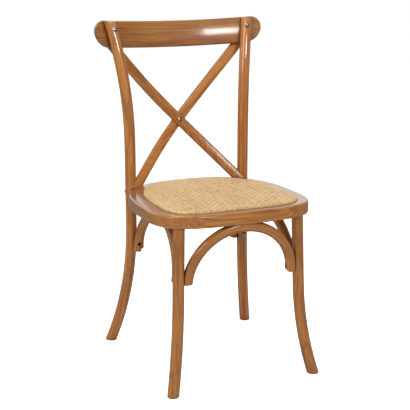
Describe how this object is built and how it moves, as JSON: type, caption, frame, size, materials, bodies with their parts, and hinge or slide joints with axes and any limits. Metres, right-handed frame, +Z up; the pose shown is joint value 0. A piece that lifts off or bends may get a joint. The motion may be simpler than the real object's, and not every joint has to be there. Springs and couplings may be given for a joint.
{
  "type": "cross back dining chair",
  "caption": "Armless dining chair with bent round legs, a flat seat ring with a woven rattan panel, a curved crest rail over crossing back slats, and arched braces under the seat.",
  "frame": {"origin": "on the floor under the middle of the chair's bounding box", "axes": "+Z up along the chair's height, the sitter faces -Y, X is across"},
  "size_m": [0.476, 0.4925, 0.8873],
  "materials": {
    "lacquered_wood": "gloss lacquer over brown stain",
    "dowel_wood": "plain",
    "bright_bolt": "bright nickel",
    "zinc_screw": "plain zinc",
    "plywood": "plain",
    "padding": "foam sheet",
    "rattan": "woven rattan, satin"
  },
  "bodies": {
    "root": {"rear_leg_left": "lacquered_wood", "rear_leg_right": "lacquered_wood", "front_leg_left": "lacquered_wood", "front_leg_right": "lacquered_wood", "seat_front_rail": "lacquered_wood", "seat_back_rail": "lacquered_wood", "seat_side_rail_left": "lacquered_wood", "seat_side_rail_right": "lacquered_wood", "crest_rail": "lacquered_wood", "cross_slat_front": "lacquered_wood", "cross_slat_rear": "lacquered_wood", "front_arch": "lacquered_wood", "back_arch": "lacquered_wood", "side_arch_left": "lacquered_wood", "side_arch_right": "lacquered_wood", "seat_ring_dowels": "dowel_wood", "slat_foot_dowels": "dowel_wood", "crest_bolts": "bright_bolt", "crest_nuts": "bright_bolt", "cross_bolt": "bright_bolt", "cross_nut": "bright_bolt", "seat_bolts": "bright_bolt", "seat_barrel_nuts": "zinc_screw", "arch_end_screws": "zinc_screw", "arch_top_screws": "zinc_screw", "slat_top_screws": "zinc_screw", "seat_board_screws": "zinc_screw", "seat_board": "plywood", "seat_padding": "padding", "rattan_mat": "rattan"}
  },
  "joints": []
}
